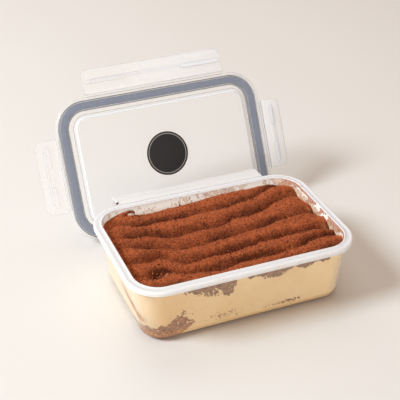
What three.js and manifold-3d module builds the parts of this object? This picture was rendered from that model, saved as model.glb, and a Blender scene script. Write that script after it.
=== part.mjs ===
// Tiramisu in its clear clip-lock box, with the lid taken off and standing behind it.
// Millimetres, +Z up. The origin is the middle of the box's underside.
import * as THREE from 'three';
import { mergeVertices } from 'three/addons/utils/BufferGeometryUtils.js';
import Module from 'manifold-3d';

const wasm = await Module();
wasm.setup();

// Driving dimensions of the box
const gap = 0.3;
const arcSteps = 8;
const box = {
  length: 207,
  width: 134,
  height: 61,
  corner: 29,
  rimWidth: 7.6,
  lipHeight: 4.6,
  rimInnerRound: 0.5,
  rimOuterRound: 1.4,
  plastic: 1.2,
  wallInsetTop: 6.4,
  wallInsetBase: 11,
  wallCornerTop: 22.5,
  wallCornerBase: 19,
  floorRound: 8,
  floorRoundSteps: 4,
  baseShift: 2,
};

// Crests of the cream waves: places across the box at each station along it, then drop and front slope
const stations = [-85, -40, 0, 40, 85];
const waves = [
  { crest: [51, 42, 46, 48, 58], drop: 1.6, front: 6 },
  { crest: [36, 23.5, 25, 32, 46], drop: 3.4, front: 7 },
  { crest: [15, 4, 6, 8, 17], drop: 2.8, front: 7 },
  { crest: [-8, -21, -19.5, -16, -12], drop: 3.6, front: 5.5 },
  { crest: [-27, -40, -39.5, -36, -33], drop: 3.2, front: 5.5 },
  { crest: [-46, -55, -55, -52, -49], drop: 2.4, front: 6 },
];
const food = {
  crestLevel: 54.6,
  backReach: 30,
  backFall: 0.6,
  cocoaThickness: 1.5,
  biscuitLevel: 7.5,
  biscuitWave: 0.7,
  biscuitPitch: 24,
  fineAlong: 46,
  fineAcross: 40,
  coarseAlong: 32,
  coarseAcross: 28,
  layerAlong: 18,
  layerAcross: 12,
};

// Hollows and swells that are laid over the waves: middle, reach along and across, and height
const swells = [
  { x: -46, y: 60, along: 22, across: 9, rise: -4.6 },
  { x: -8, y: 61, along: 20, across: 6, rise: -2.6 },
  { x: -72, y: 60, along: 9, across: 9, rise: 2.4 },
  { x: -72, y: -31, along: 9, across: 5.5, rise: -3 },
  { x: -66, y: -38, along: 8, across: 4, rise: 1.4 },
  { x: -67, y: -12, along: 8, across: 4, rise: -1.6 },
  { x: 97, y: 4, along: 7, across: 9, rise: -3.6 },
  { x: 98, y: 30, along: 8, across: 14, rise: -4 },
  { x: 96, y: -24, along: 6, across: 8, rise: -3 },
];
const biscuitSwells = [
  { x: -84, y: -44, along: 12, across: 18, rise: 8 },
  { x: -62, y: -56, along: 9, across: 9, rise: 11 },
  { x: -94, y: -14, along: 7, across: 22, rise: 6 },
];

// Driving dimensions of the lid, which leans back behind the box
const lid = {
  length: 210.4,
  width: 136.4,
  corner: 29.6,
  sheet: 1.2,
  roof: 1.6,
  skirtDepth: 5,
  ribDepth: 4.2,
  outerRib: 2.5,
  gasketInset: 4,
  gasketWidth: 6.8,
  gasketDepth: 3.3,
  gasketLip: 1.4,
  gasketLipSlope: 1,
  bevelInset: 16.6,
  bevelWidth: 2.8,
  panelRise: 1.7,
  edgeRound: 0.9,
  hingeDepth: 0.5,
  tongue: 1.3,
  tongueThickness: 0.35,
  leanDeg: 28.3,
  yawDeg: 1.7,
  centre: [1.85, 132.5, 62.7],
};
const label = { diameter: 42.6, thickness: 0.4, x: -2.2, y: 1.7, sides: 48 };

// Lock flaps: place along the edge, length, reach from the hinge, and the raised grip bars
const flap = {
  thickness: 1.6,
  corner: 7,
  bendDeg: 8,
  hingeOffset: 1.7,
  hingeGap: 0.4,
  barHeight: 0.8,
  barWidth: 4,
  railAt: 13.5,
  railWidth: 2.4,
  railHeight: 1.8,
  railMargin: 9,
};
const sideFlap = { length: 69.5, reach: 21.4, barLength: 21, barPlace: 19 };
const topFlap = { length: 144, reach: 24.4, barLength: 41, barPlace: 49 };
const hook = {
  length: 143,
  thickness: 1.5,
  lipGap: 0.5,
  below: 1,
  ledge: 3,
  ledgeDrop: 5.2,
  tabEnd: 84,
  tabFall: 1.4,
  footBack: 97.2,
  footHeight: 5,
};

// Colours, roughness and opacity of each material
const finishes = {
  clearBox: { color: 0xf1efea, roughness: 0.22, opacity: 0.35 },
  clearLid: { color: 0xf4f3f1, roughness: 0.16, opacity: 0.3 },
  gasket: { color: 0x8c94a5, roughness: 0.5, opacity: 1 },
  label: { color: 0x1f1f21, roughness: 0.6, opacity: 1 },
  cocoa: { color: 0x96502e, roughness: 0.95, opacity: 1 },
  cream: { color: 0xe6c792, roughness: 0.55, opacity: 1 },
  biscuit: { color: 0xa87850, roughness: 0.85, opacity: 1 },
};

const part = new THREE.Group();

function lerp(a, b, t) {
  return a + (b - a) * t;
}

function easeCosine(t) {
  return 0.5 - 0.5 * Math.cos(Math.PI * t);
}

function bell(value, reach) {
  return Math.exp(-((value / reach) ** 2));
}

// Smooth value through the stations, flat beyond the first and the last
function alongStations(values, x) {
  const last = stations.length - 1;
  const place = stations.findIndex((station) => x < station);
  if (place === 0) {
    return values[0];
  }
  if (place < 0) {
    return values[last];
  }
  const t = (x - stations[place - 1]) / (stations[place] - stations[place - 1]);
  return lerp(values[place - 1], values[place], t * t * (3 - 2 * t));
}

// A rounded rectangle as points, anticlockwise, centred on (shift, 0)
function outline(length, width, corner, shift = 0) {
  const points = [];
  for (let quarter = 0; quarter < 4; quarter += 1) {
    const sideX = quarter === 0 || quarter === 3 ? 1 : -1;
    const sideY = quarter < 2 ? 1 : -1;
    for (let step = 0; step <= arcSteps; step += 1) {
      const angle = ((quarter + step / arcSteps) * Math.PI) / 2;
      const x = sideX * (length / 2 - corner) + corner * Math.cos(angle) + shift;
      const y = sideY * (width / 2 - corner) + corner * Math.sin(angle);
      points.push([x, y]);
    }
  }
  return points;
}

// One closed body from rings of equal point counts: capped at both ends, or joined end to end
function bodyFromRings(rings, joined = false) {
  const count = rings[0].length;
  const positions = rings.flat(2);
  const faces = [];
  const spans = joined ? rings.length : rings.length - 1;
  for (let i = 0; i < spans; i += 1) {
    const here = i * count;
    const there = ((i + 1) % rings.length) * count;
    for (let j = 0; j < count; j += 1) {
      const k = (j + 1) % count;
      faces.push(here + j, here + k, there + k, here + j, there + k, there + j);
    }
  }
  if (!joined) {
    const end = (rings.length - 1) * count;
    for (let j = 1; j < count - 1; j += 1) {
      faces.push(0, j + 1, j, end, end + j, end + j + 1);
    }
  }
  return closedGeometry(positions, faces);
}

// Turns the faces round if they point inwards
function closedGeometry(positions, faces) {
  let volume = 0;
  const corner = (index) => new THREE.Vector3().fromArray(positions, faces[index] * 3);
  for (let i = 0; i < faces.length; i += 3) {
    volume += corner(i).dot(corner(i + 1).cross(corner(i + 2)));
  }
  const geometry = new THREE.BufferGeometry();
  geometry.setAttribute('position', new THREE.Float32BufferAttribute(positions, 3));
  geometry.setIndex(volume < 0 ? [...faces].reverse() : faces);
  return geometry;
}

function solidOf(geometry) {
  const bare = geometry.clone();
  bare.deleteAttribute('normal');
  bare.deleteAttribute('uv');
  const merged = mergeVertices(bare, 1e-4);
  return new wasm.Manifold(
    new wasm.Mesh({
      numProp: 3,
      vertProperties: new Float32Array(merged.attributes.position.array),
      triVerts: new Uint32Array(merged.index.array),
    }),
  );
}

function geometryOf(solid) {
  const mesh = solid.getMesh();
  const geometry = new THREE.BufferGeometry();
  geometry.setAttribute('position', new THREE.Float32BufferAttribute(mesh.vertProperties, 3));
  geometry.setIndex(Array.from(mesh.triVerts));
  return geometry;
}

function addMesh(parent, name, geometry, finish) {
  const { color, roughness, opacity } = finishes[finish];
  const material = new THREE.MeshStandardMaterial({
    color,
    roughness,
    metalness: 0,
    opacity,
    transparent: opacity < 1,
  });
  const mesh = new THREE.Mesh(geometry, material);
  mesh.name = name;
  parent.add(mesh);
  return mesh;
}

// The box's wall: how far it stands in from the rim's edge, and its corner, at a height
function wallRing(z, extra = 0) {
  const t = z / (box.height - box.lipHeight);
  const inset = lerp(box.wallInsetBase, box.wallInsetTop, t) + extra;
  const corner = lerp(box.wallCornerBase, box.wallCornerTop, t) - extra;
  const shift = box.baseShift * (1 - z / box.height);
  const flat = outline(box.length - 2 * inset, box.width - 2 * inset, corner, shift);
  return flat.map(([x, y]) => [x, y, z]);
}

function rimRing(inset, z) {
  const flat = outline(box.length - 2 * inset, box.width - 2 * inset, box.corner - inset);
  return flat.map(([x, y]) => [x, y, z]);
}

// Rings of a rounded floor edge, from the flat floor up, at an offset inside the outer wall
function floorRings(extra) {
  const round = box.floorRound - extra;
  const rings = [];
  for (let step = 0; step <= box.floorRoundSteps; step += 1) {
    const angle = ((step / box.floorRoundSteps) * Math.PI) / 2;
    const z = extra + round * (1 - Math.cos(angle));
    rings.push(wallRing(z, extra + round * (1 - Math.sin(angle))));
  }
  return rings;
}

// The box: floor, tapered walls and a rim that turns out and down into a lip
function makeTub() {
  const { height, plastic, rimWidth, lipHeight, rimInnerRound, rimOuterRound } = box;
  const underRim = height - lipHeight;
  const underSheet = height - rimInnerRound - plastic;
  return bodyFromRings([
    ...floorRings(plastic),
    wallRing(underRim, plastic),
    rimRing(rimWidth, height - 2 * rimInnerRound),
    rimRing(rimWidth - rimInnerRound, height),
    rimRing(rimOuterRound, height - rimInnerRound),
    rimRing(0, height - rimOuterRound),
    rimRing(0, underRim),
    rimRing(plastic, underRim),
    rimRing(plastic, underSheet),
    rimRing(box.wallInsetTop, underSheet),
    wallRing(underRim),
    ...floorRings(0).reverse(),
  ]);
}

// The space inside the box, just clear of its plastic
function makeFill() {
  const inset = box.plastic + gap;
  return solidOf(
    bodyFromRings([...floorRings(inset), wallRing(box.height - box.lipHeight, inset)]),
  );
}

function swellHeight(list, x, y) {
  return list.reduce((sum, s) => sum + s.rise * bell(x - s.x, s.along) * bell(y - s.y, s.across), 0);
}

// Height of the dusted top: long back slopes that rise to each crest, then a short drop in front
function topHeight(x, y) {
  let level = 0;
  for (let i = 0; i < waves.length; i += 1) {
    const wave = waves[i];
    const crest = alongStations(wave.crest, x);
    const valley = crest - wave.front;
    if (y > crest) {
      const behind = waves[i - 1];
      const fall = behind ? behind.drop : food.backFall;
      const reach = behind ? alongStations(behind.crest, x) - behind.front - crest : food.backReach;
      level = -fall * easeCosine(Math.min((y - crest) / reach, 1));
      break;
    }
    if (y > valley) {
      level = -wave.drop * easeCosine((crest - y) / wave.front);
      break;
    }
    level = -wave.drop;
  }
  return food.crestLevel + level + swellHeight(swells, x, y);
}

function biscuitHeight(x, y) {
  const row = Math.abs(Math.cos((Math.PI * x) / food.biscuitPitch));
  return food.biscuitLevel + food.biscuitWave * row + swellHeight(biscuitSwells, x, y);
}

// A block between two height functions, over more than the box's floor plan
function slab(lower, upper, along, across) {
  const halfX = box.length / 2;
  const halfY = box.width / 2;
  const positions = [];
  const faces = [];
  const row = across + 1;
  const layer = (along + 1) * row;
  for (const height of [lower, upper]) {
    for (let i = 0; i <= along; i += 1) {
      for (let j = 0; j <= across; j += 1) {
        const x = lerp(-halfX, halfX, i / along);
        const y = lerp(-halfY, halfY, j / across);
        positions.push(x, y, height(x, y));
      }
    }
  }
  for (let i = 0; i < along; i += 1) {
    for (let j = 0; j < across; j += 1) {
      const a = i * row + j;
      const b = a + row;
      faces.push(a, a + 1, b + 1, a, b + 1, b);
      faces.push(layer + a, layer + b + 1, layer + a + 1, layer + a, layer + b, layer + b + 1);
    }
  }
  const side = (p, q) => faces.push(p, q, layer + q, p, layer + q, layer + p);
  for (let i = 0; i < along; i += 1) {
    side(i * row, (i + 1) * row);
    side((i + 1) * row + across, i * row + across);
  }
  for (let j = 0; j < across; j += 1) {
    side(j + 1, j);
    side(along * row + j, along * row + j + 1);
  }
  return solidOf(closedGeometry(positions, faces));
}

// Sponge fingers at the bottom, the cream over them, and the cocoa skin on top
function addFood() {
  const fill = makeFill();
  const below = -box.height;
  const skinUnder = (x, y) => topHeight(x, y) - food.cocoaThickness;
  const creamTop = (x, y) => skinUnder(x, y) - gap;
  const creamUnder = (x, y) => biscuitHeight(x, y) + gap;
  const { layerAlong, layerAcross, coarseAlong, coarseAcross, fineAlong, fineAcross } = food;
  const underBiscuits = slab(() => below, biscuitHeight, layerAlong, layerAcross);
  const underCream = slab(() => below, creamUnder, layerAlong, layerAcross);
  const upToCream = slab(() => below, creamTop, coarseAlong, coarseAcross);
  const upToSkin = slab(() => below, skinUnder, coarseAlong, coarseAcross);
  const upToTop = slab(() => below, topHeight, fineAlong, fineAcross);
  addMesh(part, 'ladyfingers', geometryOf(fill.intersect(underBiscuits)), 'biscuit');
  addMesh(part, 'cream', geometryOf(fill.intersect(upToCream).subtract(underCream)), 'cream');
  addMesh(part, 'cocoa', geometryOf(fill.intersect(upToTop).subtract(upToSkin)), 'cocoa');
}

function lidRing(inset, h) {
  const flat = outline(lid.length - 2 * inset, lid.width - 2 * inset, lid.corner - inset);
  return flat.map(([x, y]) => [x, y, h]);
}

// The lid: a raised middle panel, a flat band, and a channel that holds the gasket inside
function makeLid() {
  const { roof, sheet, skirtDepth, ribDepth, outerRib, gasketInset, gasketWidth } = lid;
  const under = roof - sheet;
  const inner = gasketInset + gasketWidth + gap;
  const outer = gasketInset - gap;
  const bevelEnd = lid.bevelInset + lid.bevelWidth;
  return bodyFromRings([
    lidRing(bevelEnd, roof + lid.panelRise),
    lidRing(lid.bevelInset, roof),
    lidRing(lid.edgeRound, roof),
    lidRing(0, roof - lid.edgeRound),
    lidRing(0, -skirtDepth),
    lidRing(sheet, -skirtDepth),
    lidRing(sheet, under),
    lidRing(outerRib, under),
    lidRing(outerRib, -ribDepth),
    lidRing(outer, -ribDepth),
    lidRing(outer, under),
    lidRing(inner, under),
    lidRing(inner, -ribDepth),
    lidRing(inner + sheet, -ribDepth),
    lidRing(inner + sheet, under),
    lidRing(lid.bevelInset, under),
    lidRing(bevelEnd, under + lid.panelRise),
  ]);
}

function makeGasket() {
  const { gasketInset, gasketWidth, gasketDepth, gasketLip, gasketLipSlope } = lid;
  const top = lid.roof - lid.sheet - gap;
  const low = top - gasketDepth;
  const web = top - gasketDepth / 2;
  const far = gasketInset + gasketWidth;
  return bodyFromRings(
    [
      lidRing(gasketInset, top),
      lidRing(gasketInset, low),
      lidRing(gasketInset + gasketLip, low),
      lidRing(gasketInset + gasketLip + gasketLipSlope, web),
      lidRing(far - gasketLip - gasketLipSlope, web),
      lidRing(far - gasketLip, low),
      lidRing(far, low),
      lidRing(far, top),
    ],
    true,
  );
}

// A flat plate from y0 to y1, with its two far corners rounded
function plateShape(length, y0, y1, corner) {
  const half = length / 2;
  const shape = new THREE.Shape();
  shape.moveTo(-half, y0);
  shape.lineTo(half, y0);
  shape.lineTo(half, y1 - corner);
  shape.absarc(half - corner, y1 - corner, corner, 0, Math.PI / 2, false);
  shape.lineTo(-half + corner, y1);
  shape.absarc(-half + corner, y1 - corner, corner, Math.PI / 2, Math.PI, false);
  shape.lineTo(-half, y0);
  return shape;
}

// A long bar with round ends, centred on (x, y)
function barShape(x, y, length, width) {
  const shape = new THREE.Shape();
  const straight = length / 2 - width / 2;
  shape.absarc(x + straight, y, width / 2, -Math.PI / 2, Math.PI / 2, false);
  shape.absarc(x - straight, y, width / 2, Math.PI / 2, Math.PI * 1.5, false);
  return shape;
}

function extrude(shape, from, to) {
  const geometry = new THREE.ExtrudeGeometry(shape, {
    depth: to - from,
    bevelEnabled: false,
    curveSegments: 6,
  });
  return geometry.translate(0, 0, from);
}

// A lock flap: x along its hinge, y away from it, z to the lid's outer face
function makeFlap({ length, reach, barLength, barPlace }) {
  const { thickness, corner, hingeGap, barHeight, barWidth } = flap;
  let solid = solidOf(extrude(plateShape(length, hingeGap, reach, corner), -thickness, 0));
  for (const side of [-1, 1]) {
    const bar = barShape(side * barPlace, reach / 2, barLength, barWidth);
    solid = solid.add(solidOf(extrude(bar, -thickness / 2, barHeight)));
  }
  const rail = barShape(0, flap.railAt, length - 2 * flap.railMargin, flap.railWidth);
  solid = solid.add(solidOf(extrude(rail, -thickness - flap.railHeight, -thickness / 2)));
  return geometryOf(solid);
}

// Places a flap's hinge group on an edge of the lid
function addFlap(parent, name, size, x, y, turnDeg) {
  const hinge = new THREE.Group();
  hinge.position.set(x, y, lid.roof - lid.hingeDepth);
  hinge.rotation.set(0, 0, THREE.MathUtils.degToRad(turnDeg));
  const leaf = new THREE.Group();
  leaf.rotation.x = THREE.MathUtils.degToRad(-flap.bendDeg);
  hinge.add(leaf);
  parent.add(hinge);
  addMesh(leaf, name, makeFlap(size), 'clearLid');
}

// The lid with short tongues on which its three open flaps hinge
function addLid() {
  const group = new THREE.Group();
  group.position.set(...lid.centre);
  const lean = THREE.MathUtils.degToRad(90 - lid.leanDeg);
  group.rotation.set(lean, 0, THREE.MathUtils.degToRad(lid.yawDeg), 'ZXY');
  part.add(group);
  const halfX = lid.length / 2;
  const halfY = lid.width / 2;
  let panel = solidOf(makeLid());
  const across = lid.tongue * 2;
  const tongues = [
    [-halfX, 0, across, sideFlap.length - across],
    [halfX, 0, across, sideFlap.length - across],
    [0, halfY, topFlap.length - across, across],
  ];
  for (const [x, y, sizeX, sizeY] of tongues) {
    const tongue = new THREE.BoxGeometry(sizeX, sizeY, lid.tongueThickness);
    tongue.translate(x, y, lid.roof - lid.hingeDepth - lid.tongueThickness / 2);
    panel = panel.add(solidOf(tongue));
  }
  addMesh(group, 'lid_panel', geometryOf(panel), 'clearLid');
  addMesh(group, 'gasket', makeGasket(), 'gasket');
  const labelRadius = label.diameter / 2;
  const disc = new THREE.CylinderGeometry(labelRadius, labelRadius, label.thickness, label.sides);
  disc.rotateX(Math.PI / 2);
  disc.translate(label.x, label.y, lid.roof + lid.panelRise + gap + label.thickness / 2);
  addMesh(group, 'label', disc, 'label');
  addFlap(group, 'flap_left', sideFlap, -halfX - flap.hingeOffset, 0, 90);
  addFlap(group, 'flap_right', sideFlap, halfX + flap.hingeOffset, 0, -90);
  addFlap(group, 'flap_top', topFlap, 0, halfY + flap.hingeOffset, 0);
}

// The fourth flap: its rail sits under the box's back lip, and it reaches back and down to the lid
function addHookedFlap() {
  const { thickness, ledge, ledgeDrop, tabEnd, footBack, footHeight } = hook;
  const face = box.width / 2 + hook.lipGap;
  const top = box.height - hook.below;
  const tabTop = top - hook.tabFall;
  const corners = [
    [face, top],
    [tabEnd, tabTop],
    [tabEnd + thickness, tabTop - thickness],
    [footBack, footHeight],
    [footBack - thickness, footHeight],
    [tabEnd - thickness / 4, tabTop - thickness * 1.4],
    [face + thickness, top - thickness],
    [face + thickness, top - ledgeDrop - thickness],
    [face - ledge, top - ledgeDrop - thickness],
    [face - ledge, top - ledgeDrop],
    [face, top - ledgeDrop],
  ];
  const section = new THREE.Shape(corners.map(([y, z]) => new THREE.Vector2(y, z)));
  const geometry = extrude(section, -hook.length / 2, hook.length / 2);
  geometry.rotateX(Math.PI / 2);
  geometry.rotateZ(Math.PI / 2);
  addMesh(part, 'flap_hooked', geometryOf(solidOf(geometry)), 'clearLid');
}

addMesh(part, 'tub', makeTub(), 'clearBox');
addFood();
addLid();
addHookedFlap();

export default part;
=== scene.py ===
import math

import bpy
import numpy as np
from mathutils import Matrix, Vector


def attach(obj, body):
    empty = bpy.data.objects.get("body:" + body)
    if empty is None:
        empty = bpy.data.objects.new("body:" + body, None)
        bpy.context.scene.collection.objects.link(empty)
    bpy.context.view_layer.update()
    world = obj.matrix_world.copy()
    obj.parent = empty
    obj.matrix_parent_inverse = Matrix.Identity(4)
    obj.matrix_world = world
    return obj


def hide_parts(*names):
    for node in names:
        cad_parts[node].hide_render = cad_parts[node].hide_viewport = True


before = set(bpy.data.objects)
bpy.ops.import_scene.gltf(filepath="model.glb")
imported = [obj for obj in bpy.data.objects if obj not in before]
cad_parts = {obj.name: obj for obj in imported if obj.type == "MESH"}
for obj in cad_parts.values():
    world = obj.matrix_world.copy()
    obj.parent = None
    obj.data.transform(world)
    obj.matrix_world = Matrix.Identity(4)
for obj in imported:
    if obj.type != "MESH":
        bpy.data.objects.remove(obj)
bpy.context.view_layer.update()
print("frame loaded")

mm = 0.001

# Sizes of the box in mm, as the CAD part has them
box = {
    "length": 207.0, "width": 134.0, "height": 61.0, "corner": 29.0, "lipHeight": 4.6,
    "plastic": 1.2, "insetTop": 6.4, "insetBase": 11.0, "cornerTop": 22.5, "cornerBase": 19.0,
    "floorRound": 8.0, "baseShift": 2.0,
}
underRim = box["height"] - box["lipHeight"]

# Crests of the cream waves: places across the box at each station along it, then drop and front
stations = np.array([-85.0, -64.0, -40.0, 0.0, 40.0, 85.0])
waves = [
    {"crest": [52, 47, 45.5, 45, 50, 62], "drop": 2.2, "front": 6.0},
    {"crest": [36, 32, 23.5, 25, 32, 46], "drop": 3.8, "front": 7.5},
    {"crest": [20, 12, 4, 6, 7, 15], "drop": 3.2, "front": 7.0},
    {"crest": [-5, -2, -17.5, -17, -13, -14], "drop": 4.0, "front": 6.0},
    {"crest": [-24, -27, -35.5, -35, -32, -27], "drop": 3.6, "front": 6.0},
    {"crest": [-44, -48, -54, -54, -50, -46], "drop": 2.4, "front": 6.0},
]
food = {
    "crestLevel": 54.6, "backReach": 30.0, "backFall": 0.6, "backCurve": 1.8, "frontWidth": 1.12,
    "frontSpread": 0.3, "frontRound": 0.55, "frontCurve": 2.2, "endLevel": -1.0, "endShare": 0.25,
    "endFade": (-98, -74), "sway": (1.8, 21, 3), "creep": (0.9, 27, 14), "ripple": (1.0, 11, 4),
    "skin": 1.5, "skinGap": 0.3, "creamGap": 0.05, "creamSink": 6.0, "floorLevel": 1.0,
    "biscuitLevel": 7.5, "biscuitWave": 0.7, "biscuitPitch": 24.0,
}

# Hollows and swells over the waves: middle, reach along and across, and rise
swells = [
    (-46, 60, 22, 9, -4.6), (-8, 61, 20, 6, -2.6), (-70, 61, 7, 7, 3.2),
    (-70, -31, 9, 5.5, -4.4), (-66, -38, 8, 4, 1.4), (-67, -12, 8, 4, -1.6),
    (97, 4, 7, 9, -3.6), (98, 30, 8, 14, -4.0), (96, -24, 6, 8, -3.0),
]
biscuitSwells = [(-88, -46, 13, 18, 7.0), (-64, -58, 7, 9, 4.0), (-94, -14, 7, 22, 5.0)]
curlSwell = [(-66, 57, 5, 4, 1.6)]
# Places of the same kind where the powder is painted darker, pitted or worn off
darkSpots = [(-70, -29, 8, 4.5, 1.0)]
pitSpots = [(-18, -33, 17, 6, 1.0), (-72, -32, 9, 6, 0.8)]
bareSpots = [(91, 36, 2.6, 5, 0.7), (91, 12, 2.6, 3, 0.7), (91, -20, 2.6, 4, 0.7)]


def bell(value, reach):
    return np.exp(-((value / reach) ** 2))


def swellHeight(rows, x, y):
    total = 0.0
    for midX, midY, along, across, rise in rows:
        total = total + rise * bell(x - midX, along) * bell(y - midY, across)
    return total


def smooth(low, high, value):
    t = np.clip((value - low) / (high - low), 0, 1)
    return t * t * (3 - 2 * t)


# A smooth random field from -1 to 1, with features about as wide as the cell
def patchy(x, y, cell, seed):
    table = np.random.default_rng(seed).random((256, 256)) * 2 - 1
    u = x / cell
    v = y / cell
    i = np.floor(u).astype(int)
    j = np.floor(v).astype(int)
    s = smooth(0, 1, u - i)
    t = smooth(0, 1, v - j)
    left = table[i & 255, j & 255] * (1 - t) + table[i & 255, (j + 1) & 255] * t
    right = table[(i + 1) & 255, j & 255] * (1 - t) + table[(i + 1) & 255, (j + 1) & 255] * t
    return left * (1 - s) + right * s


# The same field as a rise, from its amount, cell and seed
def rough(x, y, grain):
    amount, cell, seed = grain
    return amount * patchy(x, y, cell, seed)


def alongStations(values, x):
    place = np.clip(np.searchsorted(stations, x, side="right"), 1, len(stations) - 1)
    start = stations[place - 1]
    t = smooth(0, 1, (x - start) / (stations[place] - start))
    levels = np.array(values, float)
    return levels[place - 1] * (1 - t) + levels[place] * t


# Height of the dusted top, and how far each point is down the front of its wave, from crest to crease
def topShape(x, y):
    x = x + rough(x, y, food["sway"])
    y = y + rough(x, 0.6 * y, food["creep"]) + rough(x, y, food["ripple"])
    level = np.full(x.shape, -waves[-1]["drop"])
    down = np.full(x.shape, -1.0)
    free = np.ones(x.shape, bool)
    fall = food["backFall"]
    crease = None
    for wave in waves:
        crest = alongStations(wave["crest"], x)
        wander = patchy(x, 0 * x, 19, int(wave["crest"][0]) + 60)
        width = wave["front"] * (food["frontWidth"] + food["frontSpread"] * wander)
        reach = food["backReach"] if crease is None else crease - crest
        back = np.clip((y - crest) / reach, 0, 1)
        front = np.clip((crest - y) / width, 0, 1)
        behind = free & (y > crest)
        level = np.where(behind, -fall * back ** food["backCurve"], level)
        free = free & ~behind
        before = free & (y > crest - width)
        rounded = 0.5 - 0.5 * np.cos(math.pi * front)
        steep = food["frontRound"] * rounded + (1 - food["frontRound"]) * front ** food["frontCurve"]
        level = np.where(before, -wave["drop"] * steep, level)
        near = behind & (y < crest + width)
        down = np.where(near, (crest - y) / width, down)
        down = np.where(before, front, down)
        free = free & ~before
        fall = wave["drop"]
        crease = crest - width
    fade = food["endShare"] + (1 - food["endShare"]) * smooth(*food["endFade"], x)
    level = food["endLevel"] + (level - food["endLevel"]) * fade
    return food["crestLevel"] + level + swellHeight(swells, x, y), down


def biscuitHeight(x, y):
    row = np.abs(np.cos(math.pi * x / food["biscuitPitch"]))
    return food["biscuitLevel"] + food["biscuitWave"] * row + swellHeight(biscuitSwells, x, y)


# A rounded rectangle, anticlockwise from the middle of its right side
def outline(length, width, corner, shift=0.0, arcs=24, longSteps=1, shortSteps=1):
    bends = []
    arcRun = np.arange(arcs + 1) / arcs
    for quarter, (sideX, sideY) in enumerate([(1, 1), (-1, 1), (-1, -1), (1, -1)]):
        angle = (quarter + arcRun) * math.pi / 2
        middle = np.array([sideX * (length / 2 - corner), sideY * (width / 2 - corner)])
        bends.append(middle + corner * np.stack([np.cos(angle), np.sin(angle)], 1))
    parts = []
    for bend, following, steps in zip(bends, bends[1:] + bends[:1], 2 * [longSteps, shortSteps]):
        run = (np.arange(1, steps) / steps)[:, None]
        parts += [bend, bend[-1] + (following[0] - bend[-1]) * run]
    return np.concatenate(parts) + np.array([shift, 0.0])


def wallOutline(end, shift, steps):
    inset = box["inset" + end]
    return outline(box["length"] - 2 * inset, box["width"] - 2 * inset, box["corner" + end], shift, **steps)


# Points of the wall at heights that may differ from point to point, set in from its outer face
def wallPoints(z, extra, **steps):
    shift = box["baseShift"]
    bottom = wallOutline("Base", shift, steps)
    top = wallOutline("Top", shift * (1 - underRim / box["height"]), steps)
    outward = outline(2, 2, 1, **steps)
    z = np.broadcast_to(z, (len(bottom),)) if np.ndim(z) < 2 else z
    radius = box["floorRound"] - extra
    curl = np.clip(1 - (z - extra) / radius, 0, 1)
    tuck = radius * (1 - np.sqrt(1 - curl**2))
    flat = bottom + (top - bottom) * (z / underRim)[..., None] - outward * (extra + tuck)[..., None]
    return np.concatenate([flat, z[..., None]], -1)


def atHeight(flat, z):
    return np.column_stack([flat, np.full(len(flat), z)])


# A ring that follows the edge of the box's rim or of the lid, set in by an amount
def edgeRing(sizes, inset, z, **steps):
    lengths = (sizes["length"] - 2 * inset, sizes["width"] - 2 * inset, sizes["corner"] - inset)
    return atHeight(outline(*lengths, **steps), z)


def addObject(name, data):
    made = bpy.data.objects.new(name, data)
    bpy.context.scene.collection.objects.link(made)
    return made


def makeMesh(name, points, faces, sharp=40.0):
    mesh = bpy.data.meshes.new(name)
    mesh.from_pydata((np.asarray(points) * mm).tolist(), [], faces)
    mesh.shade_smooth()
    mesh.set_sharp_from_angle(angle=math.radians(sharp))
    made = addObject(name, mesh)
    bpy.context.view_layer.objects.active = made
    made.select_set(True)
    bpy.ops.object.mode_set(mode="EDIT")
    bpy.ops.mesh.select_all(action="SELECT")
    bpy.ops.mesh.normals_make_consistent(inside=False)
    bpy.ops.object.mode_set(mode="OBJECT")
    made.select_set(False)
    return made


# One closed body from rings of equal point counts, capped at both ends or joined end to end
def ringBody(rings, joined=False):
    count = len(rings[0])
    here = np.arange(count)
    onward = (here + 1) % count
    spans = len(rings) if joined else len(rings) - 1
    faces = []
    for i in range(spans):
        a = i * count
        b = ((i + 1) % len(rings)) * count
        faces += np.stack([here + a, onward + a, onward + b, here + b], 1).tolist()
    if not joined:
        last = (len(rings) - 1) * count
        faces += [here[::-1].tolist(), (here + last).tolist()]
    return np.concatenate(rings), faces


def joinBodies(bodies):
    points = []
    faces = []
    base = 0
    for body, cover in bodies:
        points.append(body)
        faces += [[index + base for index in face] for face in cover]
        base += len(body)
    return np.concatenate(points), faces


# A node's output: arithmetic on it adds Math nodes
class Wire:
    def __init__(self, paint, socket):
        self.paint = paint
        self.socket = socket

    def maths(self, operation, first, second=0.0):
        return self.paint.node("ShaderNodeMath", {"operation": operation}, {0: first, 1: second})

    __add__ = __radd__ = lambda self, other: self.maths("ADD", self, other)
    __sub__ = lambda self, other: self.maths("SUBTRACT", self, other)
    __rsub__ = lambda self, other: self.maths("SUBTRACT", other, self)
    __mul__ = lambda self, other: self.maths("MULTIPLY", self, other)
    __pow__ = lambda self, other: self.maths("POWER", self, other)
    __abs__ = lambda self: self.maths("ABSOLUTE", self)
    atMost = lambda self, other: self.maths("MINIMUM", self, other)
    atLeast = lambda self, other: self.maths("MAXIMUM", self, other)


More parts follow.
